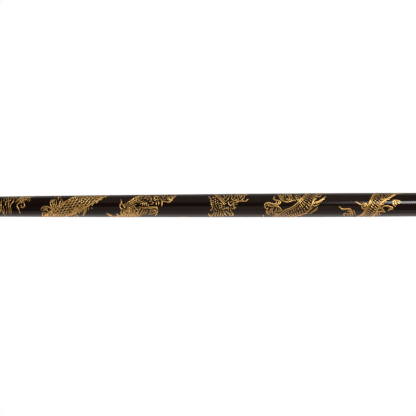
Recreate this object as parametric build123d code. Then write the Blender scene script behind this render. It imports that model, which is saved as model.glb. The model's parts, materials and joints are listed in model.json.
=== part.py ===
from build123d import *
import math
import os

# A slender lacquered hardwood stick, thickest in the middle, with dragons in
# gold leaf wound round it. It lies along X with the middle of its axis at the
# origin. All lengths are millimetres and all angles degrees. An angle round the
# stick is 0 on the front (-Y) and 90 on the top (+Z).

# Driving dimensions of the stick
STICK_LENGTH = 914.4
MIDDLE_DIAMETER = 26.0
TIP_DIAMETER = 20.8
GRIP_LENGTH = 50.0
TIP_LENGTH = 20.0
END_ROUNDING = 3.0
TAPER_BELLY = 0.4
LACQUER_THICKNESS = 0.3

# Driving dimensions of the gold
LEAF_THICKNESS = 0.15
SIZE_FILM = 0.01
WINDING_PITCH = 80.0
WINDING_CROSSING = -125.0
BODY_WIDTH = 16.0

HALF_LENGTH = STICK_LENGTH / 2
MIDDLE_RADIUS = MIDDLE_DIAMETER / 2
TIP_RADIUS = TIP_DIAMETER / 2

# The three dragons: the head and the tail as (place along X, tilt) on the winding
# itself, the body as stretches of the winding that meet end to end, and each patch
# beside the winding as (place along X, angle round, tilt). A tilt is a turn in the unrolled surface.
DRAGONS = {
    "left": {
        "tail": (-360.0, 45.0),
        "body": [(-350.0, -215.0)],
        "hind_claws": [(-279.0, -40.0, -100.0), (-303.0, 172.0, -50.0)],
        "cloud": (-250.0, -60.0, 30.0),
        "fore_claws": [(-209.0, -50.0, -95.0), (-231.0, 178.0, -50.0)],
        "flames": [(-308.0, 11.0, 70.0)],
        "head": (-200.0, 20.0),
    },
    "middle": {
        "tail": (184.0, 225.0),
        "body": [(-108.0, 34.0), (34.0, 176.0)],
        "hind_claws": [(6.0, -32.0, -160.0), (-22.0, 172.0, 130.0)],
        "cloud": (-56.0, 50.0, 25.0),
        "fore_claws": [(-72.0, -27.0, -160.0), (-104.0, 176.0, 130.0)],
        "flames": [(-79.0, 34.0, 60.0), (52.0, 40.0, 35.0)],
        "head": (-124.0, 205.0),
    },
    "right": {
        "tail": (232.0, 45.0),
        "body": [(242.0, 376.0)],
        "hind_claws": [(292.0, -38.0, -100.0), (262.0, 172.0, -60.0)],
        "cloud": (304.0, 20.0, 20.0),
        "fore_claws": [(368.0, -38.0, -95.0), (332.0, 176.0, -50.0)],
        "flames": [(330.0, -30.0, 35.0)],
        "head": (392.0, 20.0),
    },
}


def stick_profile(inset):
    """Half outline of the stick, taken in by inset all round."""
    end = HALF_LENGTH - inset
    rounding = END_ROUNDING - inset
    tip_end = HALF_LENGTH - END_ROUNDING
    tip_start = tip_end - TIP_LENGTH
    grip_end = GRIP_LENGTH / 2
    middle = MIDDLE_RADIUS - inset
    tip = TIP_RADIUS - inset
    bulge_x = (grip_end + tip_start) / 2
    bulge = (middle + tip) / 2 + TAPER_BELLY
    corner = rounding * (1 - math.sqrt(0.5))
    with BuildLine() as outline:
        Line((-end, 0), (-end, tip - rounding))
        ThreePointArc((-end, tip - rounding), (-end + corner, tip - corner), (-tip_end, tip))
        Line((-tip_end, tip), (-tip_start, tip))
        Spline((-tip_start, tip), (-bulge_x, bulge), (-grip_end, middle))
        Line((-grip_end, middle), (grip_end, middle))
        Spline((grip_end, middle), (bulge_x, bulge), (tip_start, tip))
        Line((tip_start, tip), (tip_end, tip))
        ThreePointArc((tip_end, tip), (end - corner, tip - corner), (end, tip - rounding))
        Line((end, tip - rounding), (end, 0))
        Line((end, 0), (-end, 0))
    return make_face(outline.line)


def turned(inset):
    """The stick as turned on the lathe, taken in by inset all round."""
    return revolve(stick_profile(inset), Axis.X)


def polygon(points):
    return make_face(Polyline(*points, close=True))


def head_outline():
    """A dragon's head in profile: open jaws on the right, horn and mane behind."""
    return polygon([
        (20, 3), (16, 8), (8, 7), (3, 10), (-8, 13), (-4, 8), (-17, 9), (-11, 4),
        (-21, 1), (-12, -2), (-19, -8), (-8, -6), (-10, -12), (-1, -8),
        (9, -10), (17, -7), (7, -3), (18, -1),
    ])


def claw_outline():
    """A foreleg's paw: a short wrist and four hooked talons."""
    return polygon([
        (-9, 2), (-3, 3.5), (1, 7), (7, 8.5), (4, 5), (4, 3.5), (10, 4.5), (6, 1.5),
        (6, 0.5), (11, -1.5), (5, -2), (3.5, -3), (6, -7.5), (0.5, -4), (-3, -2.5), (-9, -2),
    ])


def tail_outline():
    """A tail tuft: a narrow root that parts into three curling strands."""
    return polygon([
        (10, 2.5), (4, 3), (-2, 6.5), (-9, 7), (-4, 3), (-11, 1.5), (-4, -0.5),
        (-9, -5.5), (-1, -3.5), (4, -2), (10, -2.5),
    ])


def flame_outline():
    """Three flame tongues that lean the same way from one root."""
    return polygon([
        (-10, -3), (-4, 0), (-1, 5), (1, 1.5), (5, 3), (9, 7), (8, 2), (13, 2),
        (8, -1.5), (2, -3), (-4, -4),
    ])


def cloud_outline():
    """A small cloud: three rounded lobes over a flat base."""
    with BuildLine() as outline:
        ThreePointArc((-5, -2), (-6, 1), (-2.5, 1.5))
        ThreePointArc((-2.5, 1.5), (0, 4.5), (2.5, 1.5))
        ThreePointArc((2.5, 1.5), (6, 1), (5, -2))
        Line((5, -2), (-5, -2))
    return make_face(outline.line)


def radial_cutter(outline, place):
    """An outline pushed straight out from the axis at its place on the stick."""
    along, angle, tilt = place
    root = MIDDLE_RADIUS * 0.1
    block = extrude(Rotation(0, 0, tilt) * outline, MIDDLE_RADIUS * 1.5, dir=(0, 0, 1))
    return Pos(along, 0, 0) * Rotation(90 - angle, 0, 0) * Pos(0, 0, root) * block


def winding_angle(along):
    """The angle round the stick where the winding passes a place along X."""
    return 360.0 * (along - WINDING_CROSSING) / WINDING_PITCH


def on_winding(along, tilt):
    return (along, winding_angle(along), tilt)


def winding_cutter(start, end):
    """A ribbon wound left-handed along the stick from start to end."""
    helix = Helix(pitch=WINDING_PITCH, height=end - start, radius=MIDDLE_RADIUS, lefthand=True)
    first = helix @ 0
    outward = Vector(first.X, first.Y, 0).normalized()
    section = Plane(origin=first, x_dir=outward, z_dir=helix % 0)
    ribbon = sweep(section * Rectangle(MIDDLE_RADIUS * 0.6, BODY_WIDTH), path=helix, is_frenet=True)
    turn = -90 - winding_angle(start)
    return Pos(start, 0, 0) * Rotation(turn, 0, 0) * Rotation(0, 90, 0) * ribbon


def write(name, shape):
    """One file for each piece, holding that piece's solids."""
    solids = shape.solids()
    piece = solids[0] if len(solids) == 1 else Compound(children=list(solids))
    piece.label = name
    export_step(piece, f"parts/{name}.step")
    volume = sum(solid.volume for solid in solids)
    print(f"{name}: {len(solids)} solids, {volume:.1f} mm3")


def gold_pieces(sleeve, name, layout):
    """One dragon's patches of leaf; each stops at the edge of the ones before it."""
    cutters = {
        "head": [radial_cutter(head_outline(), on_winding(*layout["head"]))],
        "fore_claws": [radial_cutter(claw_outline(), place) for place in layout["fore_claws"]],
        "hind_claws": [radial_cutter(claw_outline(), place) for place in layout["hind_claws"]],
        "tail": [radial_cutter(tail_outline(), on_winding(*layout["tail"]))],
        "cloud": [radial_cutter(cloud_outline(), layout["cloud"])],
        "flames": [radial_cutter(flame_outline(), place) for place in layout["flames"]],
        "body": [winding_cutter(*stretch) for stretch in layout["body"]],
    }
    laid = []
    for part_name, tools in cutters.items():
        leaf = Part() + [sleeve & tool for tool in tools]
        for earlier in laid:
            leaf = leaf - earlier
        laid.extend(tools)
        write(f"{name}_dragon_{part_name}", leaf)


os.makedirs("parts", exist_ok=True)

wood_core = turned(LACQUER_THICKNESS)
stick = turned(0)
write("wood_core", wood_core)
write("lacquer_coat", stick - wood_core)

# The leaf lies on a film of gold size, so it starts just clear of the lacquer
gold_sleeve = turned(-SIZE_FILM - LEAF_THICKNESS) - turned(-SIZE_FILM)
for dragon_name, dragon_layout in DRAGONS.items():
    gold_pieces(gold_sleeve, dragon_name, dragon_layout)
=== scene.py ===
import json
import math

import bmesh
import bpy
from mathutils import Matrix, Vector


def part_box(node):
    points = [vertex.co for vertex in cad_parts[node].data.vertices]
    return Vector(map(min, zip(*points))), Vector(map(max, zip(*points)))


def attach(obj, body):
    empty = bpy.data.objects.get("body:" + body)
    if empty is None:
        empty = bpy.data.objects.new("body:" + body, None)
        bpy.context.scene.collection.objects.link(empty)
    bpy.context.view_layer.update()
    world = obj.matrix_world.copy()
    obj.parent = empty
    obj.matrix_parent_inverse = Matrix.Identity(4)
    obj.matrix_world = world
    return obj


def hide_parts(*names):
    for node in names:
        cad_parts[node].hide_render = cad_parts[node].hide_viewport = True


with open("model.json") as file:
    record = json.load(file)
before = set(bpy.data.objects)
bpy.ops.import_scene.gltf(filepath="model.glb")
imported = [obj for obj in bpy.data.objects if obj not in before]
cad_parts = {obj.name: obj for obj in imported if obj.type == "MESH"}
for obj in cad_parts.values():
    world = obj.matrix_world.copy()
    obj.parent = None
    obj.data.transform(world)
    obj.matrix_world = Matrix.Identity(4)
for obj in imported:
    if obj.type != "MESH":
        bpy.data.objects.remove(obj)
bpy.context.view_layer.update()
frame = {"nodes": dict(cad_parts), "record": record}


# ---------------------------------------------------------------- wood core
# The stick itself: one straight-grained hardwood billet turned between centres
# to a long double taper and sanded. The lacquer seals it in all over.

def new_material(name):
    """A material with an empty node tree but for its output and one Principled shader."""
    material = bpy.data.materials.new(name)
    material.use_nodes = True
    nodes = material.node_tree.nodes
    nodes.clear()
    output = nodes.new("ShaderNodeOutputMaterial")
    shader = nodes.new("ShaderNodeBsdfPrincipled")
    material.node_tree.links.new(shader.outputs["BSDF"], output.inputs["Surface"])
    return material, shader


def noise_on_object(material, scale, detail=2.0, stretch=(1.0, 1.0, 1.0)):
    """Noise on object coordinates, stretched along each axis."""
    nodes, links = material.node_tree.nodes, material.node_tree.links
    place = nodes.new("ShaderNodeTexCoord")
    mapping = nodes.new("ShaderNodeMapping")
    mapping.inputs["Scale"].default_value = stretch
    noise = nodes.new("ShaderNodeTexNoise")
    noise.inputs["Scale"].default_value = scale
    noise.inputs["Detail"].default_value = detail
    links.new(place.outputs["Object"], mapping.inputs["Vector"])
    links.new(mapping.outputs["Vector"], noise.inputs["Vector"])
    return noise


def ramp_of(material, source, stops):
    """A colour ramp over a value: stops are (place, colour)."""
    nodes, links = material.node_tree.nodes, material.node_tree.links
    ramp = nodes.new("ShaderNodeValToRGB")
    while len(ramp.color_ramp.elements) < len(stops):
        ramp.color_ramp.elements.new(0.5)
    for element, (place, colour) in zip(ramp.color_ramp.elements, stops):
        element.position = place
        element.color = (*colour, 1.0)
    links.new(source, ramp.inputs["Fac"])
    return ramp


def wood_material():
    material, shader = new_material("turned_hardwood")
    links = material.node_tree.links
    grain = noise_on_object(material, 220.0, 6.0, (0.04, 1.0, 1.0))
    tone = ramp_of(material, grain.outputs["Fac"], [
        (0.3, (0.30, 0.16, 0.07)), (0.55, (0.44, 0.26, 0.12)), (0.75, (0.52, 0.33, 0.17)),
    ])
    links.new(tone.outputs["Color"], shader.inputs["Base Color"])
    shader.inputs["Roughness"].default_value = 0.55
    return material


wood = frame["nodes"]["wood_core"]
wood.data.materials.clear()
wood.data.materials.append(wood_material())


# ---------------------------------------------------------------- lacquer coat
# Many thin coats of brown-black lacquer over the turned wood, rubbed down between
# coats and left glossy. It runs over the rounded edges and across both flat ends.

MM = 0.001
GRIP_HALF = 25.0        # half of the untapered middle, millimetres
TAPER_BELLY = 0.4       # how far the taper bulges over a straight line, millimetres
END_ROUNDING = 3.0      # the rounded edge at each end, millimetres
COAT_SIDES = 160
COAT_RINGS = 71
ROUNDING_STEPS = 7

mounts = {mount["name"]: mount for mount in frame["record"]["mounts"]}
coat_low, coat_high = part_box("lacquer_coat")
half_length = coat_high.x / MM
middle_radius = coat_high.z / MM
tip_radius = mounts["right_tip"]["dims"]["r_mm"]
tip_start = half_length - END_ROUNDING - mounts["right_tip"]["dims"]["length_mm"]


def stick_radius(along):
    """The lacquered radius at a distance along from the middle, both in millimetres."""
    distance = abs(along)
    if distance <= GRIP_HALF:
        return middle_radius
    share = min((distance - GRIP_HALF) / (tip_start - GRIP_HALF), 1.0)
    straight = middle_radius + (tip_radius - middle_radius) * share
    return straight + 4 * TAPER_BELLY * share * (1 - share)


def lacquer_material():
    material, shader = new_material("brown_black_lacquer")
    nodes, links = material.node_tree.nodes, material.node_tree.links
    cloud = noise_on_object(material, 18.0, 3.0, (0.5, 1.0, 1.0))
    tone = ramp_of(material, cloud.outputs["Fac"], [
        (0.35, (0.0062, 0.0022, 0.0016)), (0.65, (0.0095, 0.0038, 0.0027)),
    ])
    links.new(tone.outputs["Color"], shader.inputs["Base Color"])
    streak = noise_on_object(material, 90.0, 4.0, (0.12, 1.0, 1.0))
    rough = nodes.new("ShaderNodeMapRange")
    rough.inputs["To Min"].default_value = 0.10
    rough.inputs["To Max"].default_value = 0.17
    links.new(streak.outputs["Fac"], rough.inputs["Value"])
    links.new(rough.outputs["Result"], shader.inputs["Roughness"])
    dust = noise_on_object(material, 900.0, 3.0)
    bump = nodes.new("ShaderNodeBump")
    bump.inputs["Strength"].default_value = 0.02
    bump.inputs["Distance"].default_value = 0.0002
    links.new(dust.outputs["Fac"], bump.inputs["Height"])
    links.new(bump.outputs["Normal"], shader.inputs["Normal"])
    shader.inputs["IOR"].default_value = 1.5
    return material


def select_edges(piece, wanted):
    """Selects, in edit mode, the edges whose two ends suit wanted, and nothing else."""
    bpy.ops.mesh.select_mode(type="EDGE")
    bpy.ops.mesh.select_all(action="DESELECT")
    shape = bmesh.from_edit_mesh(piece.data)
    for edge in shape.edges:
        if wanted(*[vertex.co for vertex in edge.verts]):
            edge.select_set(True)
    bmesh.update_edit_mesh(piece.data)


bpy.ops.object.select_all(action="DESELECT")
bpy.ops.mesh.primitive_cylinder_add(
    vertices=COAT_SIDES, radius=middle_radius * MM, depth=2 * half_length * MM,
    end_fill_type="NGON", rotation=(0.0, math.pi / 2, 0.0),
)
coat = bpy.context.object
coat.name = "lacquer_skin"
bpy.ops.object.transform_apply(location=True, rotation=True, scale=True)
bpy.ops.object.mode_set(mode="EDIT")
select_edges(coat, lambda start, end: start.x * end.x < 0)
bpy.ops.mesh.subdivide(number_cuts=COAT_RINGS)
bpy.ops.object.mode_set(mode="OBJECT")
for vertex in coat.data.vertices:
    squeeze = stick_radius(vertex.co.x / MM) / middle_radius
    vertex.co.y *= squeeze
    vertex.co.z *= squeeze
bpy.ops.object.mode_set(mode="EDIT")
rim = (half_length - 0.01) * MM
select_edges(coat, lambda start, end: min(abs(start.x), abs(end.x)) > rim)
bpy.ops.mesh.bevel(offset=END_ROUNDING * MM, segments=ROUNDING_STEPS, profile=0.5, affect="EDGES")
bpy.ops.mesh.select_all(action="SELECT")
bpy.ops.mesh.normals_make_consistent(inside=False)
bpy.ops.object.mode_set(mode="OBJECT")
bpy.ops.object.shade_smooth_by_angle(angle=math.radians(40))
coat.data.materials.append(lacquer_material())
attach(coat, "root")
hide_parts("lacquer_coat")


# ---------------------------------------------------------------- gold: how a line is laid
# The dragons are line-work: gold size is drawn on the lacquer with a fine brush and
# gold leaf is pressed on it, so every line stands a hair proud and thins at its ends.
# Lines are drawn on a flat sheet in millimetres and the sheet is wrapped on the stick.

LINE_PROFILE = [  # across the line and up from the lacquer, as shares of the line's width
    (-0.50, -0.05), (0.50, -0.05), (0.44, 0.05), (0.22, 0.11), (-0.22, 0.11), (-0.44, 0.05),
]
SAMPLE_STEP = 0.9       # along a line between faces, millimetres


def gold_material():
    material, shader = new_material("gold_leaf")
    nodes, links = material.node_tree.nodes, material.node_tree.links
    patch = noise_on_object(material, 260.0, 4.0)
    tone = ramp_of(material, patch.outputs["Fac"], [
        (0.30, (0.52, 0.26, 0.06)), (0.50, (0.80, 0.47, 0.13)), (0.68, (0.93, 0.64, 0.25)),
    ])
    links.new(tone.outputs["Color"], shader.inputs["Base Color"])
    fine = noise_on_object(material, 1500.0, 3.0)
    rough = nodes.new("ShaderNodeMapRange")
    rough.inputs["To Min"].default_value = 0.26
    rough.inputs["To Max"].default_value = 0.48
    links.new(fine.outputs["Fac"], rough.inputs["Value"])
    links.new(rough.outputs["Result"], shader.inputs["Roughness"])
    bump = nodes.new("ShaderNodeBump")
    bump.inputs["Strength"].default_value = 0.35
    bump.inputs["Distance"].default_value = 0.0001
    links.new(fine.outputs["Fac"], bump.inputs["Height"])
    links.new(bump.outputs["Normal"], shader.inputs["Normal"])
    shader.inputs["Metallic"].default_value = 0.75
    return material


gold = gold_material()


def make_brush():
    """The section of a gold line, as a closed curve one millimetre wide."""
    bpy.ops.object.select_all(action="DESELECT")
    bpy.ops.object.add(type="CURVE")
    section = bpy.context.object
    section.name = "line_section"
    section.data.dimensions = "2D"
    spline = section.data.splines.new("POLY")
    spline.points.add(len(LINE_PROFILE) - 1)
    for point, (across, up) in zip(spline.points, LINE_PROFILE):
        point.co = (across, up, 0.0, 1.0)
    spline.use_cyclic_u = True
    return section


brush = make_brush()


def spot(along, round_, turn=0):
    """A place on the sheet: along the stick, and round it from the front line, upwards."""
    angle = round_ / stick_radius(along) + 2 * math.pi * turn
    return along, angle * middle_radius


def drawn(lines):
    """Lines drawn on the stick, moved to the sheet. A line is (width, points)."""
    return [(width, [spot(*point) for point in points]) for width, points in lines]


def placed(lines, centre, tilt):
    """A motif drawn about its own centre, turned by tilt and set down on the sheet."""
    cosine, sine = math.cos(math.radians(tilt)), math.sin(math.radians(tilt))
    return [(width, [(centre[0] + u * cosine - v * sine, centre[1] + u * sine + v * cosine)
                     for u, v in points]) for width, points in lines]


def smooth_run(knots, step):
    """Places about a step apart on a smooth line through the knots."""
    run = []
    padded = [knots[0], *knots, knots[-1]]
    for before, here, there, after in zip(padded, padded[1:], padded[2:], padded[3:]):
        count = max(1, round(math.dist(here[:2], there[:2]) / step))
        for number in range(count):
            t = number / count
            run.append(tuple(
                0.5 * (2 * h + (n - b) * t + (2 * b - 5 * h + 4 * n - a) * t ** 2
                       + (3 * h - b - 3 * n + a) * t ** 3)
                for b, h, n, a in zip(before, here, there, after)
            ))
    run.append(tuple(knots[-1]))
    return run


def draw_line(curve, width, points):
    """One brush line on the sheet, full in the middle and thinner at both ends."""
    spline = curve.splines.new("BEZIER")
    spline.bezier_points.add(len(points) - 1)
    length = sum(math.dist(a, b) for a, b in zip(points, points[1:]))
    spline.resolution_u = min(12, max(2, round(length / (len(points) - 1) / SAMPLE_STEP)))
    last = len(points) - 1
    start, middle, end = width if isinstance(width, tuple) else (width * 0.6, width, width * 0.5)
    for number, (knot, point) in enumerate(zip(spline.bezier_points, points)):
        knot.co = (*point, 0.0)
        knot.handle_left_type = knot.handle_right_type = "AUTO"
        share = number / last
        if last == 1:
            knot.radius = (start + middle) / 2 if number == 0 else (middle + end) / 2
        elif share < 0.5:
            knot.radius = start + (middle - start) * math.sin(math.pi * share)
        else:
            knot.radius = end + (middle - end) * math.sin(math.pi * share)


def lay_gold(name, lines, cad_node):
    """Draws the lines as one raised piece of gold and wraps it round the stick."""
    bpy.ops.object.select_all(action="DESELECT")
    bpy.ops.object.add(type="CURVE")
    sheet = bpy.context.object
    sheet.name = name
    curve = sheet.data
    curve.dimensions = "3D"
    curve.twist_mode = "Z_UP"
    curve.bevel_mode = "OBJECT"
    curve.bevel_object = brush
    curve.use_fill_caps = True
    for width, points in lines:
        draw_line(curve, width, points)
    bpy.ops.object.convert(target="MESH")
    piece = bpy.context.object
    for vertex in piece.data.vertices:
        along, round_, height = vertex.co
        angle = round_ / middle_radius
        reach = stick_radius(along) + height
        vertex.co = Vector((along, -reach * math.cos(angle), reach * math.sin(angle))) * MM
    bpy.ops.object.mode_set(mode="EDIT")
    bpy.ops.mesh.select_all(action="SELECT")
    bpy.ops.mesh.normals_make_consistent(inside=False)
    bpy.ops.object.mode_set(mode="OBJECT")
    bpy.ops.object.shade_smooth_by_angle(angle=math.radians(50))
    piece.data.materials.clear()
    piece.data.materials.append(gold)
    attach(piece, "root")
    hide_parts(cad_node)
    return piece


# ---------------------------------------------------------------- dragon bodies
# Each body is a long scaled coil wound left-handed round the stick: two belly lines
# with plates between them on one side, a ridge with fins on the other, scales between.

def side(place, ahead, share):
    """A place beside the spine: share 1 is the belly edge and -1 the ridge."""
    run_x, run_y = ahead[0] - place[0], ahead[1] - place[1]
    length = math.hypot(run_x, run_y) or 1.0
    reach = place[2] * share
    return place[0] - run_y / length * reach, place[1] + run_x / length * reach


def edge_line(run, share):
    line = [side(place, ahead, share) for place, ahead in zip(run, run[1:])]
    return line[::3] + [line[-1]]


def body_lines(knots, fins_back=True, plain_scales=True):
    """A body through knots (along, round, half width) on the sheet."""
    run = smooth_run(knots, SAMPLE_STEP)
    lines = [(1.4, edge_line(run, -1.0))]
    if plain_scales:
        lines += [(1.5, edge_line(run, 1.0)), (0.9, edge_line(run, 0.72))] + slanted_scales(run)
    else:
        lines += [(1.1, edge_line(run, 1.0))] + netted_scales(run)
    lines += fin_lines(run, fins_back)
    return lines


def slanted_scales(run):
    """Short strokes straight across the body in staggered lanes, lacquer between them."""
    lines = []
    for number in range(3, len(run) - 7, 3):
        lanes = max(1, round(run[number][2] * 1.6 / 4.8))
        lane_share = 1.5 / lanes
        for lane in range(lanes):
            low = -0.88 + lane * lane_share
            start = run[number + lane % 2], run[number + 1 + lane % 2]
            end = run[number + 1 + lane % 2], run[number + 2 + lane % 2]
            lines.append(((0.6, 1.1, 0.8), [
                side(*start, low + 0.06), side(*start, low + lane_share * 0.45),
                side(*end, low + lane_share * 0.86),
            ]))
    return lines


def netted_scales(run):
    """Overlapping scales: rows of open arcs, each over the gap of the row before."""
    lines = []
    for row, number in enumerate(range(2, len(run) - 7, 4)):
        place, ahead = run[number], run[number + 1]
        lanes = max(1, round(place[2] * 1.9 / 3.4))
        lane_share = 1.87 / lanes
        for lane in range(lanes + row % 2):
            middle = -0.95 + lane_share * (lane + (0.0 if row % 2 else 0.5))
            low, high = max(middle - lane_share / 2, -0.95), min(middle + lane_share / 2, 0.92)
            if high - low < 0.3 * lane_share:
                continue
            lines.append(((0.5, 0.95, 0.5), [
                side(place, ahead, low),
                side(run[number + 3], run[number + 4], low + 0.16 * (high - low)),
                side(run[number + 5], run[number + 6], (low + high) / 2),
                side(run[number + 3], run[number + 4], high - 0.16 * (high - low)),
                side(place, ahead, high),
            ]))
    return lines


def fin_lines(run, fins_back):
    """Pointed fins along the ridge, all leaning the same way."""
    lines = []
    lean = 4 if fins_back else -4
    for number in range(8, len(run) - 12, 6):
        place, ahead = run[number], run[number + 1]
        reach = 1.0 + 2.6 / max(place[2], 1.0)
        tip = side(run[number + lean], run[number + lean + 1], -reach)
        base = side(place, ahead, -1.0)
        middle = (base[0] * 0.45 + tip[0] * 0.55, base[1] * 0.45 + tip[1] * 0.55)
        lines.append(((1.2, 1.2, 0.4), [base, middle, tip]))
    return lines


def with_width(knots):
    """Body knots (along, round, half width, turn) moved to the sheet."""
    return [(*spot(along, round_, turn), width) for along, round_, width, turn in knots]


middle_body = with_width([
    (-113, 14, 5.5, -1), (-103, 24, 6.5, -1), (-90, 36, 8.0, -1), (-76, -32, 8.6, 0),
    (-64, -20, 8.4, 0), (-56, -12, 8.0, 0), (-50, -8, 6.6, 0), (-41, -2, 7.4, 0),
    (-37, 4, 6.6, 0), (-34, 10, 5.8, 0), (-30, 17, 5.8, 0), (-20, 29, 6.0, 0),
    (-4, 40, 6.4, 0), (12, -33, 6.4, 1), (23, -23, 6.8, 1), (29.6, -14, 6.4, 1),
    (33, -7, 6.0, 1), (36.6, 0, 5.8, 1), (41, 8, 6.8, 1), (47, 15, 8.4, 1),
    (62, 30, 9.0, 1), (84, -29, 8.6, 2), (100, -14, 8.0, 2), (114, 0, 7.4, 2),
    (130, 16, 6.6, 2), (148, 33, 5.4, 2), (164, -28, 4.0, 3), (176, -16, 2.6, 3),
    (184, -8, 1.6, 3),
])
ridge_fins = drawn([
    (1.6, [(-30, 2.9), (-25.5, 3.4), (-21, 6.1), (-15.8, 10.2)]), (1.3, [(-27, 1.8), (-23, 3.4), (-18, 7)]),
    (1.4, [(-30.4, -0.6), (-27.3, -0.7), (-23.4, 1.2)]), (1.8, [(-31.4, -7.8), (-27.3, -5.3), (-24.8, -2.4)]),
    (1.0, [(-24.8, 9.4), (-21.9, 11.6), (-19.6, 15)]), (1.3, [(-34, -10), (-30.5, -8.6)]),
])
lay_gold("middle_dragon_body_gold", body_lines(middle_body) + ridge_fins, "middle_dragon_body")

left_body = with_width([
    (-352, 4, 1.6, -1), (-344, 12, 3.4, -1), (-336, 20, 6.0, -1), (-326, 32, 8.4, -1),
    (-319, -27, 9.8, 0), (-311, -14, 10.0, 0), (-302, -6, 9.4, 0), (-292, 0, 9.0, 0),
    (-280, 8, 10.2, 0), (-268, 16, 10.6, 0), (-256, 27, 10.4, 0), (-246, -34, 9.6, 1),
    (-237, -22, 8.8, 1), (-229, -12, 8.2, 1), (-221, -5, 7.6, 1),
])
left_lines = body_lines(left_body, fins_back=False, plain_scales=False)
lay_gold("left_dragon_body_gold", left_lines, "left_dragon_body")

right_body = with_width([
    (222, 26, 1.6, 0), (232, 36, 3.6, 0), (245, -24, 6.4, 1), (258, -12, 8.4, 1),
    (272, 0, 9.0, 1), (286, 13, 9.0, 1), (302, 29, 8.8, 1), (320, -26, 8.4, 2),
    (336, -12, 8.0, 2), (350, 0, 7.4, 2), (364, 14, 7.0, 2), (374, 24, 6.6, 2),
])
right_lines = body_lines(right_body, fins_back=False, plain_scales=False)
lay_gold("right_dragon_body_gold", right_lines, "right_dragon_body")


# ---------------------------------------------------------------- dragon heads
# Each head is drawn in profile: open jaws with teeth and a tongue, a round eye under a
# heavy brow, forked horns and a mane swept back over the neck, whiskers in front.

def at(along, degrees):
    """A place on the sheet by its angle round the stick, 0 on the front and 90 on top."""
    return along, math.radians(degrees) * middle_radius


def ring(centre, radius, width=0.6):
    """A small closed circle."""
    turns = [math.radians(step * 45) for step in range(9)]
    return (width, width, width), [
        (centre[0] + radius * math.cos(turn), centre[1] + radius * math.sin(turn)) for turn in turns
    ]


def dots(places, width=1.3):
    """Short dabs of the brush, one at each place."""
    return [((width * 0.8, width, width * 0.8), [(x - 0.35, y - 0.25), (x + 0.35, y + 0.25)])
            for x, y in places]


def head_lines():
    """A head in profile that looks along +x, about forty millimetres long."""
    lines = [
        (1.3, [(2, 3), (6, 3.5), (10, 3), (13, 4.5), (15.5, 3.5), (16, 1.5), (13, 0), (9, -0.5),
               (5, -1.5), (2, -3)]),
        (1.2, [(2, -3), (5, -5.5), (9, -6.5), (13, -6), (14.5, -4.5)]),
        (1.2, [(14.5, -4.5), (13, -7.5), (8, -8.5), (3, -7.5), (-1, -5)]),
        (0.9, [(3, -3.5), (7, -4), (11, -3), (13, -3.8)]),
        (1.1, [(0, 2), (3, 3.6), (6.5, 2.8), (8, 4.2)]),
        (1.4, [(-0.5, 4), (-4, 7), (-9, 8.5), (-14, 8)]),
        (1.2, [(-1.5, 3.2), (-5, 5.5), (-9, 6.4), (-13, 5.6)]),
        (1.0, [(-6, 7.5), (-8, 10.5)]),
        (0.9, [(-2, 1), (-5, 3), (-6, 1), (-3, 0)]),
        (0.8, [(14, 3.5), (17, 6), (21, 7.5), (24, 6.5)]),
        (0.8, [(13, -1), (17, -2), (20, -5)]),
        ring((3.5, 1.0), 1.3, 0.8),
        ring((13.3, 2.6), 0.7, 0.6),
    ]
    for tooth in [(14.3, 0.6, -1.4), (11, -0.4, -2.4), (8, -1.0, -2.4)]:
        lines.append((0.8, [(tooth[0], tooth[1]), (tooth[0] - 0.2, tooth[2])]))
    for tooth in [(12, -6, -4.2), (9.5, -6.4, -4.8)]:
        lines.append((0.8, [(tooth[0], tooth[1]), (tooth[0] + 0.2, tooth[2])]))
    for strand in range(9):
        drop = 3.5 - 1.35 * strand
        lines.append((0.9, [(-2, drop * 0.6), (-7, drop), (-12, drop * 1.25 - 0.8),
                            (-17 + strand % 3 * 2, drop * 1.35 + 0.8)]))
    for beard in range(4):
        foot = 2 + 3 * beard
        lines.append((0.8, [(foot, -7.8), (foot - 1.4, -10), (foot - 3.6, -11.4)]))
    lines += dots([(-0.5, 0.3), (0.6, -1.6), (2.2, -0.9), (6, 1.0), (8.5, 1.2), (10.8, 1.4)], 1.0)
    return lines


right_head = placed(head_lines(), spot(386, 35, 2), 42.0)
lay_gold("right_dragon_head_gold", right_head, "right_dragon_head")

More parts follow.
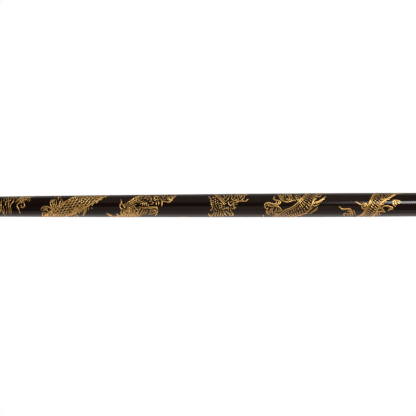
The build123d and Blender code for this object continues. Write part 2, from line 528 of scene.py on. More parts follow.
middle_head = drawn([
    # horns and the parted mane, swept up towards the neck
    (1.3, [(-135.4, 16.1), (-133.6, 12), (-130.8, 8.4), (-128.1, 5.2), (-124.5, 1.6)]),
    (1.2, [(-137.2, 18.8), (-135.8, 14.3), (-132.7, 8.8), (-129, 4.3), (-126.3, 0.7)]),
    (1.0, [(-133.2, 16.4), (-130.4, 11), (-127, 6.8), (-124, 4)]),
    (1.2, [(-126.4, 18.4), (-126.6, 13.8), (-126, 9.6), (-128, 6.6)]),
    (0.9, [(-123.4, 15.6), (-123.6, 11.8), (-125, 8.4)]),
    (1.2, [(-118.6, 18.8), (-118.6, 14.3), (-117.7, 10.7), (-119, 7)]),
    (1.0, [(-121.2, 17), (-120.8, 12), (-121.8, 8.4), (-123.6, 5.6)]),
    (1.1, [(-114.5, 16.6), (-114.5, 11.6), (-115.8, 8.4), (-117.7, 6.6)]),
    (1.2, [(-112.7, 18.8), (-112.2, 14.3), (-111.8, 9.7), (-110.8, 7)]),
    (0.9, [(-109.8, 17.2), (-109.6, 12.6), (-109, 8.4)]),
    (1.1, [(-104.5, 16.1), (-104, 12), (-105.4, 8.4), (-107.7, 6.1)]),
    (0.8, [(-107, 15.2), (-107.2, 11), (-108.6, 7.8)]),
    # the long whisker from the nose, and the snout
    (1.4, [(-116.8, 2.6), (-112.7, 3.8), (-108.1, 5.2), (-103.6, 4.7), (-100.4, 7.5)]),
    (1.2, [(-117, 5.4), (-114, 5.8), (-111, 6.6)]),
    (1.1, [(-122.2, 4.6), (-121.4, 1.4), (-119.4, -0.2), (-117.4, 1.6), (-115.4, 0.4)]),
    (1.0, [(-120.2, 3.6), (-118.6, 4.4), (-116.8, 3.2)]),
    # teeth and the star of whiskers by the corner of the mouth
    (1.5, [(-117.7, -3.9), (-115.8, -2.5), (-113.1, -2)]),
    (1.0, [(-115.8, -2.5), (-115.2, -0.6)]), (1.0, [(-116, -2.6), (-114.6, -3.8)]),
    (1.1, [(-121.7, -1.6), (-121.7, -6.2)]), (1.0, [(-119.5, -1.8), (-119.2, -6.2)]),
    (0.9, [(-123.4, -1.2), (-123.2, -2.6)]),
    # lower jaw
    (1.4, [(-119.5, -6.4), (-117.2, -9.3), (-116.8, -11.6), (-118.6, -13.4), (-121.4, -14.6)]),
    (1.4, [(-125, -5.6), (-122.7, -8.2), (-120.4, -10.7), (-120.2, -13)]),
    (1.6, [(-127.4, -5.8), (-125.8, -9.8), (-123.6, -14.2)]),
    (1.1, [(-126, -4.2), (-124, -2.8), (-122.5, -3.8)]),
    # eye and brow
    ring((-130.2, -1.2), 1.2, 0.8), (1.1, [(-133, 1.8), (-130.4, 2.4), (-127.8, 0.8)]),
    (1.2, [(-129, -3.4), (-127.4, -4.2), (-125.6, -3)]),
    # spikes of the mane along the back of the head
    (1.7, [(-143.1, 11.1), (-140.4, 7)]), (1.6, [(-139, -3), (-141.6, -5.9)]),
    (1.8, [(-143.6, -9.3), (-142.2, -12.5), (-141, -16.4)]),
    (1.1, [(-140.6, 6), (-141.2, 4.4), (-139.6, 3.4), (-141, 1.8), (-139.4, 0.6),
           (-140.2, -0.8), (-138.2, -2)]),
    (1.1, [(-139, 8.8), (-137.6, 10.4), (-135.8, 9.8), (-135.6, 7.9)]),
    (1.2, [(-136.7, -7.5), (-138.6, -10.2), (-140.2, -15)]),
    (1.2, [(-134.5, -7), (-135.8, -10.7), (-137, -16.6)]),
    (1.1, [(-132.6, -7), (-133.2, -11.4), (-133.6, -17)]),
    (1.2, [(-130, -6.6), (-130.4, -11), (-130.2, -17.4)]),
    (0.9, [(-128.6, -9), (-127.8, -13), (-127.2, -17.4)]),
]) + drawn(dots([
    (-138.6, 5.6), (-136.4, 6.8), (-138.2, 3.4), (-136, 4.4), (-133.8, 5.6), (-137.8, 1.2),
    (-135.6, 2.2), (-133.6, 3.2), (-137, -1), (-134.8, 0), (-132.4, 0.2), (-136.2, -3.2),
    (-134, -2.2), (-131.8, -3.4), (-137.4, -5.2), (-135, -5.2), (-132.6, -5.6), (-130.2, -5),
    (-128, -1.4), (-126.2, -1.4), (-127.4, 2.8), (-114, 7.6), (-111.4, 5), (-113, 1.4),
    (-116.6, -0.6), (-119, -9.4), (-118.6, -7.4),
], 1.5))
lay_gold("middle_dragon_head_gold", middle_head, "middle_dragon_head")

left_head = drawn([
    # the horn behind, split in two at its root
    (1.4, [(-238.8, 7.9), (-238.1, 5.2), (-238.6, 2.9), (-239.7, 0.7), (-239.3, -1.6),
           (-237.2, -3.9)]),
    (1.1, [(-238.1, 4), (-236.3, 0.7), (-234.6, -2)]),
    (1.3, [(-237.2, -3.9), (-238.6, -6.6), (-238.4, -9.6), (-236.6, -13), (-235.8, -17)]),
    (1.3, [(-235.2, -2.4), (-235.8, -6.4), (-234.6, -10.4), (-233.6, -16)]),
    # the mane's bright outer edge and the strands inside it
    (1.6, [(-235.4, 0.8), (-230.4, 4.3), (-225.9, 7.9), (-222.2, 11.1), (-217.6, 13.8),
           (-210.8, 16.6)]),
    (1.2, [(-233.6, -0.6), (-228.1, 3.4), (-223.6, 6.4), (-218.1, 8.6), (-214, 8.2)]),
    (1.4, [(-224.4, 9), (-219.6, 11.2), (-213.6, 12.6)]),
    (1.0, [(-231.6, -0.8), (-227, 2), (-222.2, 4.4), (-217.4, 6.6)]),
    (1.0, [(-229.4, -1.4), (-225, 0.6), (-221.6, 1.8)]),
    (0.9, [(-219.8, 3.2), (-216.6, 5), (-213.6, 5.6)]),
    (1.2, [(-209.2, 18.8), (-210.4, 15.2), (-211.8, 11.6), (-213.8, 7.9)]),
    (1.3, [(-209, 16.6), (-207.2, 11.6), (-205.4, 8.8), (-206.4, 6.4)]),
    (0.9, [(-209.4, 12.4), (-209.2, 8.8), (-210.4, 6)]),
    # curls between the mane and the cheek
    (0.9, [(-207.9, 4.3), (-206.3, 5.7), (-204.5, 4.7), (-204, 2.9), (-205.4, 1.6),
           (-206.8, 2.5)]),
    (0.8, [(-214.6, 4), (-215, 0.6)]), (0.8, [(-212.6, 4.6), (-213, 0.4)]),
    (0.8, [(-210.6, 4), (-210.8, 0.2)]), (0.8, [(-208.8, 1.6), (-208.6, -0.8)]),
    (1.3, [(-219, -1), (-213.6, -1.7), (-209, -1.6), (-204.5, -1.2), (-200, -0.7)]),
    (1.0, [(-217.4, 1.2), (-216.2, 3), (-214.2, 2)]),
    # snout and the upper jaw, turned up to the top of the stick
    (1.7, [(-194.6, 5.2), (-190, 4.6), (-186.3, 4.3), (-184.1, 6.6), (-181.8, 9.7),
           (-179.5, 12.9), (-178.4, 17)]),
    (1.3, [(-183.4, 13.4), (-182.7, 10.2), (-184.4, 7.6), (-187, 6.4)]),
    ring((-187, 9), 1.5, 1.0), (1.4, [(-187.3, 8.9), (-186.7, 9.1)]),
    (1.1, [(-191.3, 18.8), (-191.3, 14.3), (-189.8, 9.7)]),
    (1.1, [(-188.1, 18.8), (-188.8, 14.3), (-186.6, 12.2)]),
    (1.2, [(-193.8, 17.4), (-193.8, 12.4), (-192.4, 8)]),
    (1.1, [(-184.6, 18), (-184.8, 14.8)]), (1.0, [(-181.2, 17.6), (-181.4, 14.4)]),
    (1.4, [(-204, 13.4), (-200.4, 15), (-196.4, 14)]), (1.3, [(-203, 10.4), (-200, 12), (-195.6, 11)]),
    (1.2, [(-205, 16.4), (-201, 17.8), (-197, 17)]),
    (1.2, [(-203.4, 8), (-201.8, 9.4)]), (1.2, [(-202.4, 5.8), (-200.2, 7.4), (-198, 7.6)]),
    (1.4, [(-197.4, 7.9), (-195.6, 8.2), (-194.3, 6.1), (-194, 2.9), (-194.5, -0.6)]),
    (1.2, [(-198.6, 6.4), (-197.6, 3.6), (-198, 0.8)]),
    (0.9, [(-200.4, 4.6), (-200, 1.2)]),
    (1.0, [(-192.4, 6.8), (-190.4, 7.4)]),
    # curls of the cheek and the beard that hangs to the underside
    (1.2, [(-232.4, -3.4), (-230.6, -1.6), (-228.6, -3), (-229.6, -4.8), (-231.4, -4.4)]),
    (1.1, [(-227.4, -1.8), (-224.8, -1), (-222.6, -2.6), (-223.6, -4.6), (-225.8, -4)]),
    (1.1, [(-232.8, -6.4), (-229.8, -5.8), (-228, -7.6), (-229.6, -9)]),
    (1.0, [(-226.6, -5.8), (-224, -5.4), (-222.6, -7.2)]),
    (1.1, [(-232.4, -8.6), (-231.6, -12), (-231.8, -17)]),
    (1.2, [(-229.2, -9.6), (-229, -13), (-229.4, -17.4)]),
    (1.2, [(-226.4, -8.4), (-226.8, -12), (-226.6, -17.4)]),
    (1.2, [(-223.8, -8), (-224.2, -12), (-224, -17.2)]),
    (1.1, [(-221.6, -3.2), (-220.2, -5.4), (-221.4, -8.4)]),
    (0.9, [(-176, -16.2), (-171, -15.8), (-166.6, -16.4)]),
]) + drawn(dots([
    (-234.4, -4.6), (-233.6, -1.6), (-226.6, 4.4), (-222, 8.6), (-218.8, 6.4), (-216.4, 10.6),
    (-211.6, 9.8), (-207.6, 14), (-206.8, 8.4), (-203, 3.4), (-199, 9.8), (-192.2, 11.2),
    (-184.6, 11.4), (-181, 12.2), (-220, -2.2), (-217.8, -3), (-225.4, -2.6), (-230.6, -7.2),
    (-227.8, -6.6), (-200.6, -2.2),
], 1.4))
lay_gold("left_dragon_head_gold", left_head, "left_dragon_head")


# ---------------------------------------------------------------- fore claws
# The forelegs end in paws with four hooked talons spread from a knuckled pad. One paw
# of each pair shows beside the head or neck, the other lies round the far side.

def claw_lines():
    """A wrist and a paw whose talons reach along +x."""
    return [
        (1.4, [(-9, 2.2), (-4, 3), (0, 4)]), (1.4, [(-9, -2.2), (-4, -2.4), (0, -3.4)]),
        (1.5, [(0, 4), (3, 6.6), (7, 8.4)]), (1.0, [(0.6, 2.4), (3.4, 4.6), (7, 8.4)]),
        (1.5, [(2, 2), (6, 3.6), (10, 4.4)]), (1.0, [(2, 0.6), (6, 2), (10, 4.4)]),
        (1.5, [(2, -0.4), (6, 0.2), (11, -1.4)]), (1.0, [(2, -1.8), (6, -1.4), (11, -1.4)]),
        (1.4, [(0, -3.4), (3.6, -4.2), (6, -7.4)]), (1.0, [(-1, -4.4), (2, -5.6), (6, -7.4)]),
        ring((0.4, 0.4), 1.4, 0.9), (0.9, [(-7, 0.6), (-5, 0)]), (0.9, [(-4, 0.8), (-2.4, 0)]),
        (0.8, [(-6, -1), (-4, -1.2)]), (0.8, [(-8, 4), (-11, 6)]), (0.8, [(-5, 4.6), (-8, 7.4)]),
    ]


middle_paw = drawn([
    (1.4, [(-75.5, -1.6), (-72.8, -0.8), (-69.1, -1.2), (-66.4, -2.5), (-64.6, -4.8),
           (-63.5, -6.4)]),
    (1.5, [(-79.1, -4.3), (-80.5, -7), (-79.1, -9.8), (-76.2, -12.2)]),
    (1.2, [(-74.6, -3.2), (-76.8, -6.6), (-76.2, -9.6)]),
    (1.2, [(-72.6, -2.2), (-74.2, -5), (-74.4, -8), (-73.2, -10.6)]),
    (1.1, [(-69.6, -2.6), (-70, -5.2), (-71.8, -7.6), (-71.6, -9)]),
    (1.1, [(-67, -3.6), (-67.2, -6), (-69.4, -8)]),
    (1.0, [(-65.4, -5.6), (-66.6, -8)]), (1.0, [(-78.6, -6.4), (-78, -8.6)]),
    ring((-70, -10.6), 1.3, 0.9), (1.1, [(-73.6, -12.4), (-70.6, -13.2)]),
])
middle_fore_far = placed(claw_lines(), at(-104, 176), 130.0)
lay_gold("middle_dragon_fore_claws_gold", middle_paw + middle_fore_far, "middle_dragon_fore_claws")

left_paw = drawn([
    (1.2, [(-217.2, -3), (-219, -5.2), (-220.2, -8.4), (-221.4, -14)]),
    (1.3, [(-214.5, -3.6), (-216.3, -6.6), (-217.8, -10.7), (-218.4, -15)]),
    (1.2, [(-212.7, -4.6), (-214, -8), (-216, -12)]),
    (1.2, [(-209.5, -3.9), (-210.9, -7), (-213, -10.8)]),
    (1.4, [(-209, -3), (-205.9, -2.5), (-201.8, -2), (-199.5, -2.6), (-199, -4.8),
           (-199.6, -8.4), (-200.6, -11.2), (-201.2, -14.4)]),
    (1.1, [(-208.1, -5.7), (-205.9, -4.8), (-202.2, -4.8), (-200.9, -6.6), (-202.7, -8.9),
           (-206.8, -10.2), (-210.2, -10.9)]),
    (1.0, [(-207.4, -7.2), (-204.6, -6.4), (-202.4, -7)]), (1.0, [(-208.6, -8.8), (-205, -8.2)]),
    (0.9, [(-216, -2.6), (-213, -3), (-210.4, -2.8)]),
])
left_fore_far = placed(claw_lines(), at(-231, 178), -50.0)
lay_gold("left_dragon_fore_claws_gold", left_paw + left_fore_far, "left_dragon_fore_claws")

right_fore = (placed(claw_lines(), at(368, -38), -95.0)
              + placed(claw_lines(), at(332, 176), -50.0))
lay_gold("right_dragon_fore_claws_gold", right_fore, "right_dragon_fore_claws")


# ---------------------------------------------------------------- hind claws
# The hind legs stand off the coils further back: a short curled leg with two or three
# long talons, drawn with the same loaded brush as the forelegs.

middle_hind = drawn([
    (1.6, [(-1.3, -1.8), (1.3, -4.5), (5, -4.6), (8.8, -4.3), (11.6, -6.4), (13, -9.2),
           (13.4, -13)]),
    (1.6, [(3.1, -12.6), (4.4, -10.2), (7.6, -10.8), (10, -11), (11.2, -9), (9.4, -7.2), (7, -7.6)]),
    (1.2, [(13.9, -5.6), (15.4, -8.8), (15.6, -12)]),
    (1.1, [(3.4, -11.8), (5, -16)]), (0.9, [(11.4, -11.6), (11.2, -16)]),
    (0.9, [(8.4, -12), (8, -16)]),
])
middle_knob = drawn([
    (1.6, [(16.5, 3.6), (19.5, 1.7), (22.6, 0)]),
    (1.3, [(23.7, 0.8), (25.6, 2.2), (27.9, 0.8), (28.9, -1.8), (26.5, -4.6), (24.2, -4.1),
           (22.8, -1.8), (23.7, 0.8)]),
    (1.3, [(24.6, 0.2), (26.2, -0.8), (27.4, -2.4)]), (1.2, [(24.4, -1.8), (25.8, -2.6)]),
    (1.2, [(25.6, 1), (27.2, 0.2)]),
])
middle_hind_far = placed(claw_lines(), at(-22, 172), 130.0)
lay_gold("middle_dragon_hind_claws_gold", middle_hind + middle_knob + middle_hind_far,
         "middle_dragon_hind_claws")

left_hind = drawn([
    (1.8, [(-297.8, -14), (-293.6, -8.6), (-290, -5.2), (-285.9, -2), (-281, 0.9)]),
    (1.3, [(-282.8, -1.8), (-285.2, -3.6), (-284.8, -6), (-283.8, -8.8)]),
    (1.3, [(-281.2, -2.2), (-278.8, -3.6), (-278.6, -7.4), (-280.2, -10.4)]),
    (1.5, [(-276.2, -1.4), (-277.2, -5.7), (-279.3, -10.2), (-280.2, -13.4)]),
    (1.0, [(-283, -4.6), (-281.4, -5.4), (-280.8, -7.4)]),
    (1.6, [(-274, -2.4), (-273.8, -4)]), (1.4, [(-270.4, -1.2), (-270.4, -2.6)]),
    (1.5, [(-291.4, -11), (-289.5, -8.6), (-287.2, -10.4), (-285.9, -13.9), (-285.2, -17.6)]),
    (1.2, [(-289.6, -12), (-288.8, -17.6)]),
])
left_hind_far = placed(claw_lines(), at(-303, 172), -50.0)
lay_gold("left_dragon_hind_claws_gold", left_hind + left_hind_far, "left_dragon_hind_claws")

right_hind = (placed(claw_lines(), at(292, -38), -100.0)
              + placed(claw_lines(), at(262, 172), -60.0))
lay_gold("right_dragon_hind_claws_gold", right_hind, "right_dragon_hind_claws")


# ---------------------------------------------------------------- tails
# A tail thins to a narrow root and parts into a spray of long curling hairs; one or
# two hooked curls lie beside the spray.

def tail_lines():
    """A tail's tuft whose root is at the right and whose hairs trail to the left."""
    lines = [(1.3, [(10, 1.8), (6, 2), (2, 1.2)]), (1.3, [(10, -1.8), (6, -1.6), (2, -1.2)])]
    for hair in range(8):
        lean = 3.5 - hair
        lines.append((0.9, [(3, lean * 0.35), (-2, lean * 1.2), (-7, lean * 1.7 - 0.8),
                            (-12 + hair % 3 * 2, lean * 1.9 + 0.8)]))
    lines.append((1.3, [(-2, 6), (-5, 9), (-9, 9), (-9.4, 6.4), (-7, 6.4)]))
    lines.append((1.3, [(-2, -6), (-5, -9), (-8.4, -8.4), (-8, -6)]))
    return lines


left_tail = drawn([
    (1.0, [(-361.2, 17.6), (-361.6, 12), (-361, 8), (-362, 5)]),
    (0.8, [(-359, 17.6), (-359.2, 13), (-358.4, 9), (-360, 6)]),
    (1.0, [(-355.8, 17), (-356.3, 12), (-355.1, 8.4), (-357.2, 3.8), (-358.8, 1.6),
           (-358.1, -3.9), (-358.3, -8.8)]),
    (0.8, [(-353.6, 17.6), (-354, 12), (-353, 9)]),
    (0.9, [(-351.2, 17), (-352.4, 12.5), (-351.7, 9)]),
    (0.8, [(-348.6, 17.6), (-349, 14), (-348.4, 11)]),
    (0.9, [(-364.4, 13), (-363, 8), (-363.7, 4.7), (-364.4, 1)]),
    (0.8, [(-366.4, 12), (-365.6, 8.6), (-366.4, 5)]),
    (0.8, [(-368, 9), (-369, 4.3), (-368.8, -1.2), (-367.6, -4.8), (-366.5, -9.6)]),
    (0.7, [(-366.4, 1), (-365.7, -3.9), (-366, -8.4), (-364.9, -13)]),
    (0.7, [(-363.3, 0), (-362.6, -4.8), (-363.4, -9.2)]),
    (0.7, [(-361.2, 1), (-360.2, -3.9), (-360.4, -9)]),
    (0.8, [(-360.2, 7), (-361, 3.4), (-360.4, 1.4)]),
    (1.5, [(-371, -3), (-369.6, -4.2), (-371, -7.4)]),
    (1.3, [(-349.2, 3.4), (-351.4, 2), (-351.4, -0.2), (-349.9, -2.7), (-349, -5.7),
           (-348.4, -8.8)]),
    (1.2, [(-344, 4.2), (-343.5, 0.9), (-344.9, -1.1), (-347.1, -0.8), (-346.9, 1.6)]),
    (1.0, [(-344, 4.2), (-344.4, 6.4), (-343.3, 8.6), (-341.1, 7.9), (-339.6, 5.8)]),
    (1.0, [(-340, 9.2), (-338.4, 7.4), (-338.2, 5.4)]), (0.9, [(-337.8, 9.6), (-336.6, 7)]),
])
lay_gold("left_dragon_tail_gold", left_tail, "left_dragon_tail")

middle_tail = placed(tail_lines(), spot(190, -2, 3), 225.0)
lay_gold("middle_dragon_tail_gold", middle_tail, "middle_dragon_tail")

right_tail = placed(tail_lines(), spot(218, 22, 0), 45.0)
lay_gold("right_dragon_tail_gold", right_tail, "right_dragon_tail")


# ---------------------------------------------------------------- flames
# Tongues of flame lick from the shoulders and flanks: tapering strokes that lean
# the same way, with a curled tip here and there.

def flame_lines():
    """Three long tongues and two short ones from one root."""
    return [
        (1.5, [(-10, -3), (-5, -0.4), (-1.6, 4.4)]), (1.6, [(-8, -3.4), (0, -0.6), (4, 2.4), (8, 7)]),
        (1.6, [(-5, -4), (2, -2.8), (8, -0.8), (13, 2.2)]), (1.1, [(1, -1.6), (4.6, 1), (6.4, 3.6)]),
        (1.0, [(-6, -1.6), (-4, 1), (-3.4, 3.6)]), (1.0, [(4, -2), (8, -0.2), (10.4, 2.2)]),
        (1.2, [(-9, -4), (-2, -4.4), (4, -4.2), (9, -3)]),
    ]


middle_curl = drawn([
    (1.7, [(-72.3, 11.1), (-71.5, 9.7), (-72.8, 7.9), (-71.8, 6.3), (-69.1, 5.7), (-66.4, 4.7),
           (-65.5, 2.9), (-66.8, 1.6), (-70.9, 1.3), (-74.6, 1.8), (-78.7, 2.9), (-81.4, 2),
           (-82.5, -0.3), (-81.4, -3), (-79.1, -4)]),
    (1.1, [(-80.6, -0.6), (-79.2, 0.6), (-77.6, -0.2), (-78.6, -1.8)]),
    (1.1, [(-76.6, -0.6), (-75, -1.4)]), (0.9, [(-70, 4), (-69.8, 2.6)]), (0.9, [(-67.8, 4), (-67.6, 2.6)]),
    (1.7, [(-84, -12.2), (-83.6, -16.6)]),
])
middle_licks = drawn([
    (1.4, [(43.4, 3.2), (46.2, 3.4), (50, 5)]),
    (1.8, [(45, 6.4), (50.9, 7.2), (54.6, 9.4), (58.8, 11.6)]),
    (1.2, [(58.9, 13.6), (58.2, 10.6)]), (1.2, [(39.4, -0.6), (42, 0.2), (43.6, 2.2)]),
    (1.7, [(38.5, -4.8), (40.6, -4.5), (43.1, -2.6)]),
    (1.7, [(44.3, -4.3), (46.2, -1.9), (49.9, -1.3), (53.7, -2.2), (56.6, -4.1), (54.8, -5),
           (53, -5.2), (51.8, -7.1)]),
    (1.4, [(44.8, -4.2), (46.7, -6.4), (48.6, -8.9)]), (1.6, [(40.4, -7.8), (44.3, -7.8), (46.9, -8.3)]),
    (1.2, [(42, -9), (43, -14)]), (1.0, [(39.8, -9.6), (40.4, -14)]),
    (1.6, [(56.7, 2.4), (57.2, 4.4), (60.2, 4.9), (63.8, 4.1), (65.6, 2.4)]),
    (1.6, [(57.2, 3.6), (57.2, 0.7), (59.4, -1.9)]), (1.5, [(59.6, 4), (59.6, 1.3), (61.4, 0)]),
    (1.4, [(62.2, 3.6), (62.6, 1.7), (64.2, 1.3)]),
    (1.2, [(56, 16.4), (62, 15.4), (70, 16.6)]), (1.0, [(57, 18.6), (64, 17.6), (71, 18.4)]),
    (1.0, [(-21, 17.4), (-14, 18.2), (-5, 18.6)]),
])
lay_gold("middle_dragon_flames_gold", middle_curl + middle_licks, "middle_dragon_flames")

left_flames = drawn([
    (0.9, [(-313.8, 8.3), (-315.3, 4.3), (-314.6, 0.7), (-312.6, -2), (-310.2, -2.7)]),
    (0.7, [(-313.8, 8.3), (-312, 8.2), (-313, 5.2), (-312.4, 1.6), (-311.7, -1.2)]),
    (0.8, [(-310.4, 9), (-311.2, 5.2), (-310.4, 0.7), (-308.8, -3.2)]),
    (0.7, [(-309.9, 8.6), (-308.4, 5.2), (-309.2, 1.6), (-310.2, -0.7)]),
    (0.9, [(-303.5, 8.8), (-304.9, 5.2), (-305.8, 2), (-307.4, -0.5)]),
    (0.9, [(-303.3, 8.6), (-302, 5.2), (-302.6, 1.6), (-304.9, -1.2), (-307.2, -3.6), (-309.2, -6)]),
    (1.9, [(-307.2, 17.6), (-306.9, 12.4), (-306.7, 7.4)]), (1.6, [(-305, 15.6), (-304.8, 10.4)]),
    (0.9, [(-311, 12.6), (-310, 10.4)]),
])
left_curls = drawn([
    (1.5, [(-325.6, -4.4), (-324.5, -1.6), (-320.8, -0.2), (-317.6, -0.7), (-314.9, -2.3),
           (-311.7, -3), (-310.2, -6)]),
    (1.3, [(-323.4, -2.8), (-320.6, -1.8), (-317.8, -2.6)]),
    (1.3, [(-323.4, -4.8), (-320.6, -3.6), (-318, -4.6)]),
    (1.3, [(-323.4, -6.2), (-324.1, -10), (-323, -17.5)]),
    (1.3, [(-321.6, -6.4), (-320.7, -10.7), (-320, -17.5)]),
    (1.3, [(-318.4, -7.8), (-319.2, -12), (-318, -17.5)]),
    (1.1, [(-318.5, -8), (-317.2, -5.7), (-314.9, -5.5), (-314, -7), (-315.8, -8.4), (-317, -7.6)]),
    (1.2, [(-312.4, -4.8), (-313.4, -6.8), (-312, -8.6)]),
    (1.3, [(-315, -12.6), (-312.4, -13), (-311.2, -10.2), (-308.3, -8.9)]),
    (1.3, [(-315.8, -14), (-315.6, -17.6)]), (1.3, [(-312.6, -14.6), (-312.2, -17.8)]),
])
lay_gold("left_dragon_flames_gold", left_flames + left_curls, "left_dragon_flames")

right_flames = placed(flame_lines(), at(330, -30), 35.0)
lay_gold("right_dragon_flames_gold", right_flames, "right_dragon_flames")


# ---------------------------------------------------------------- clouds
# A small cloud floats beside each dragon: a scalloped lower edge, a swirl with a round
# eye at one end and fine drawn lines that fill the lobes.

def cloud_lines():
    """A three-lobed cloud over a flat base."""
    return [
        (1.4, [(-5, -2), (-6.6, 0), (-4.6, 2.2), (-2.5, 1.5)]),
        (1.4, [(-2.5, 1.5), (-1.6, 4), (1.6, 4), (2.5, 1.5)]),
        (1.4, [(2.5, 1.5), (4.6, 2.2), (6.6, 0), (5, -2)]), (1.4, [(-5, -2), (0, -2.4), (5, -2)]),
        ring((0, 1.6), 1.0, 0.8), (0.9, [(-4.4, 0.4), (-3, -0.6)]), (0.9, [(3, -0.6), (4.4, 0.4)]),
    ]


middle_cloud = drawn([
    (1.6, [(-68, 15.4), (-66.4, 10.7), (-64.6, 6.8), (-61.8, 4.7), (-58.2, 3.8), (-54.1, 4.6),
           (-50.5, 5.6), (-48.6, 5.4)]),
    (1.2, [(-65.8, 17.4), (-64.8, 12.4), (-63.6, 8.4), (-61.4, 6.4)]),
    (1.2, [(-62.3, 18.8), (-61.8, 14.3), (-62.6, 9.7), (-61.2, 6.6)]),
    (1.0, [(-60, 17.4), (-59.6, 12.6), (-60.2, 8.4)]),
    (1.3, [(-58.2, 17.6), (-57.3, 13.4), (-55.5, 8.8), (-56.4, 5.2)]),
    (1.0, [(-56, 17.6), (-55.2, 13.4), (-53.8, 9.6)]),
    (1.3, [(-54.1, 18.8), (-53.5, 14.3), (-52.8, 9.7), (-50.4, 6.4)]),
    ring((-58.2, 7), 1.0, 0.8), ring((-54, 6.8), 0.9, 0.8), ring((-46.9, 7.8), 1.3, 1.0),
    (1.1, [(-50, 9.9), (-47, 12), (-43.9, 10.7), (-43.9, 7.4), (-46.6, 5.2)]),
    (0.9, [(-50.6, 13.6), (-47, 15), (-43.4, 13.8)]), (0.8, [(-50.8, 17), (-47, 17.6)]),
])
lay_gold("middle_dragon_cloud_gold", middle_cloud, "middle_dragon_cloud")

left_cloud = drawn([
    (2.0, [(-254.5, -9), (-251.8, -10.4), (-248.8, -13), (-247.5, -17)]),
    (1.5, [(-252.6, -11.8), (-250.4, -14), (-249.8, -17.4)]),
    (2.0, [(-243.2, -9), (-241.8, -13), (-240.7, -17.6)]),
    (1.4, [(-246.2, -13), (-245.2, -17.4)]), (1.3, [(-243.6, -13), (-243.2, -17.4)]),
])
lay_gold("left_dragon_cloud_gold", left_cloud, "left_dragon_cloud")

right_cloud = placed(cloud_lines(), at(304, 20), 20.0)
lay_gold("right_dragon_cloud_gold", right_cloud, "right_dragon_cloud")


# ---------------------------------------------------------------- floor, light and camera
# A plain white floor before a plain white world, soft lights that give the lacquer its
# narrow highlight and bright lower edge, and a long lens at the height of the stick.

def plain_white(name, strength):
    material = bpy.data.materials.new(name)
    material.use_nodes = True
    nodes, links = material.node_tree.nodes, material.node_tree.links
    nodes.clear()
    output = nodes.new("ShaderNodeOutputMaterial")
    glow = nodes.new("ShaderNodeEmission")
    glow.inputs["Color"].default_value = (1.0, 1.0, 1.0, 1.0)
    glow.inputs["Strength"].default_value = strength
    links.new(glow.outputs["Emission"], output.inputs["Surface"])
    return material


FLOOR_SIZE = 12.0
bpy.ops.object.select_all(action="DESELECT")
bpy.ops.mesh.primitive_plane_add(size=FLOOR_SIZE, location=(0.0, 0.0, coat_low.z - 0.0005))
floor = bpy.context.object
floor.name = "floor"
floor.data.materials.append(plain_white("white_floor", 1.0))
floor.visible_glossy = False
floor.visible_diffuse = False
floor.visible_shadow = False

world = bpy.data.worlds.new("studio")
bpy.context.scene.world = world
world.use_nodes = True
world_nodes, world_links = world.node_tree.nodes, world.node_tree.links
world_nodes.clear()
world_out = world_nodes.new("ShaderNodeOutputWorld")
seen = world_nodes.new("ShaderNodeBackground")
seen.inputs["Strength"].default_value = 1.0
lit = world_nodes.new("ShaderNodeBackground")
lit.inputs["Color"].default_value = (1.0, 0.9, 0.8, 1.0)
lit.inputs["Strength"].default_value = 0.04
seen.inputs["Color"].default_value = (1.0, 1.0, 1.0, 1.0)
path = world_nodes.new("ShaderNodeLightPath")
mix = world_nodes.new("ShaderNodeMixShader")
world_links.new(path.outputs["Is Camera Ray"], mix.inputs["Fac"])
world_links.new(lit.outputs["Background"], mix.inputs[1])
world_links.new(seen.outputs["Background"], mix.inputs[2])
world_links.new(mix.outputs["Shader"], world_out.inputs["Surface"])


def soft_box(name, centre, target, width, height, radiance, colour=(1.0, 1.0, 1.0)):
    """A rectangular light of a given brightness per area, turned to a target."""
    light = bpy.data.lights.new(name, "AREA")
    light.shape = "RECTANGLE"
    light.size, light.size_y = width, height
    light.color = colour
    light.energy = radiance * math.pi * width * height
    lamp = bpy.data.objects.new(name, light)
    bpy.context.scene.collection.objects.link(lamp)
    lamp.location = centre
    lamp.rotation_mode = "QUATERNION"
    lamp.rotation_quaternion = (Vector(target) - Vector(centre)).to_track_quat("-Z", "Y")
    return lamp


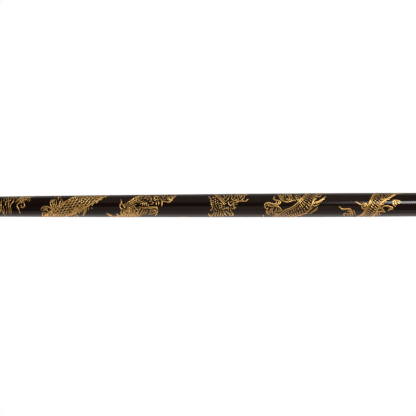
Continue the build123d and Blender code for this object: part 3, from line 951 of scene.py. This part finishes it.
VIEW_CENTRE = -144.0 * MM
middle = (VIEW_CENTRE, 0.0, 0.0)
ROOM = (1.0, 0.76, 0.60)
UNDER = (1.0, 0.88, 0.84)
KEY = (1.0, 0.96, 0.90)
soft_box("under_behind", (VIEW_CENTRE, 0.35, -0.606), middle, 3.0, 0.65, 1.05, UNDER)
soft_box("under_front", (VIEW_CENTRE, -0.207, -0.773), middle, 3.0, 0.58, 0.5, UNDER)
soft_box("front_low", (-0.13, -0.98, -0.60), (-0.13, 0.0, 0.0), 0.46, 1.0, 0.27, ROOM)
soft_box("front_low_edge", (-0.13, -1.00, -0.612), (-0.13, 0.0, 0.0), 0.58, 1.0, 0.10, ROOM)
soft_box("front_high", (-0.105, -0.488, 1.096), (-0.105, 0.0, 0.0), 0.50, 1.5, 0.18, ROOM)
soft_box("front_high_edge", (-0.105, -0.50, 1.12), (-0.105, 0.0, 0.0), 0.62, 1.5, 0.09, ROOM)
soft_box("back_high", (VIEW_CENTRE, 0.688, 0.983), middle, 3.0, 0.87, 0.4, UNDER)
soft_box("strip_right", (0.68, -1.0, 0.42), (0.68, 0.0, 0.0), 1.1, 0.36, 11.0)
soft_box("strip_faint", (0.08, -1.0, 0.42), (0.08, 0.0, 0.0), 0.10, 0.32, 0.9)
soft_box("key_right", (1.6, -1.3, 0.8), (0.0, 0.0, 0.0), 1.2, 1.2, 3.5, KEY)
soft_box("key_left", (-1.7, -1.3, 0.7), (-0.1, 0.0, 0.0), 1.0, 1.0, 1.4, KEY)

CAMERA_DISTANCE = 3.0
FRAME_WIDTH = 453.7 * MM
ROLL = math.radians(0.27)
camera_data = bpy.data.cameras.new("long_lens")
camera_data.sensor_width = 36.0
camera_data.lens = 36.0 * CAMERA_DISTANCE / FRAME_WIDTH
camera_data.clip_end = 50.0
camera = bpy.data.objects.new("long_lens", camera_data)
bpy.context.scene.collection.objects.link(camera)
camera.location = (VIEW_CENTRE, -CAMERA_DISTANCE, -2.6 * MM)
camera.rotation_mode = "XYZ"
camera.rotation_euler = (math.pi / 2, ROLL, 0.0)
bpy.context.scene.camera = camera
bpy.context.scene.view_settings.view_transform = "Standard"

bpy.data.objects.remove(brush)
